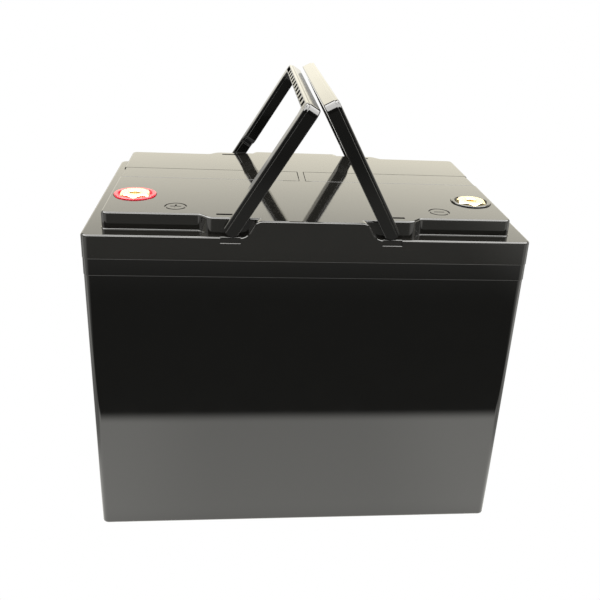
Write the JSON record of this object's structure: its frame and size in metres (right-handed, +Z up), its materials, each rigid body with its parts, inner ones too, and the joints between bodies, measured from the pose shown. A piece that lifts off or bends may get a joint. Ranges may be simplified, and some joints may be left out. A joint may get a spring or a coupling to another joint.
{
  "type": "battery pack",
  "caption": "Block battery pack in a glossy black case, with an overlapping lid, recessed brass screw terminals in coloured rings, and U-shaped carrying handles that swing up from the lid.",
  "frame": {"origin": "centre of the underside of the case, which rests on the floor", "axes": "+X along the length towards the negative terminal, +Y from the front long side to the back, +Z up"},
  "size_m": [0.26, 0.168, 0.2793],
  "materials": {
    "black_plastic": "glossy moulded black plastic",
    "red_plastic": "glossy red plastic",
    "brass": "machined brass",
    "seal_rubber": "soft black sealing bead",
    "steel": "zinc plated steel",
    "cell_can": "drawn aluminium can",
    "spacer_sheet": "epoxy glass sheet",
    "cell_cover_sheet": "insulating sheet",
    "busbar_metal": "nickel plated copper bar",
    "strap_steel": "steel band",
    "foam": "closed cell foam",
    "board": "green circuit board",
    "transistor_plastic": "moulded transistor package",
    "heatsink_aluminium": "anodised extrusion",
    "connector_plastic": "natural nylon",
    "lead_insulation": "thin insulated lead",
    "cable_red": "silicone insulated cable",
    "cable_black": "silicone insulated cable"
  },
  "bodies": {
    "battery": {"balance_connector": "connector_plastic", "balance_leads": "lead_insulation", "bms_board": "board", "bms_heatsink": "heatsink_aluminium", "bms_screws": "steel", "bms_standoffs": "steel", "bms_terminals": "busbar_metal", "bms_transistors": "transistor_plastic", "busbar_link_1": "busbar_metal", "busbar_link_2": "busbar_metal", "busbar_link_3": "busbar_metal", "busbar_negative_end": "busbar_metal", "busbar_nuts": "steel", "busbar_positive_end": "busbar_metal", "cable_battery_negative": "cable_black", "cable_lugs": "busbar_metal", "cable_output_negative": "cable_black", "cable_positive": "cable_red", "case": "black_plastic", "cell_1": "cell_can", "cell_2": "cell_can", "cell_3": "cell_can", "cell_4": "cell_can", "cell_5": "cell_can", "cell_6": "cell_can", "cell_7": "cell_can", "cell_8": "cell_can", "cell_cover": "cell_cover_sheet", "cell_spacers": "spacer_sheet", "cover_rails": "connector_plastic", "end_plate_left": "spacer_sheet", "end_plate_right": "spacer_sheet", "foam_pad_base": "foam", "foam_pad_left": "foam", "foam_pad_right": "foam", "lid": "black_plastic", "lid_seal": "seal_rubber", "pack_straps": "strap_steel", "terminal_bolts": "steel", "terminal_insert_negative": "brass", "terminal_insert_positive": "brass", "terminal_ring_negative": "black_plastic", "terminal_ring_positive": "red_plastic", "vent_cover_left": "black_plastic", "vent_cover_right": "black_plastic"},
    "left_handle": {"handle_left": "black_plastic"},
    "right_handle": {"handle_right": "black_plastic"}
  },
  "joints": [
    {"name": "left_handle_hinge", "type": "hinge", "parent": "battery", "child": "left_handle", "pos_m": [-0.0455, 0, 0.206], "axis": [0, -1, 0], "range_deg": [0, 121.7]},
    {"name": "right_handle_hinge", "type": "hinge", "parent": "battery", "child": "right_handle", "pos_m": [0.0455, 0, 0.206], "axis": [0, 1, 0], "range_deg": [0, 118.3]}
  ]
}
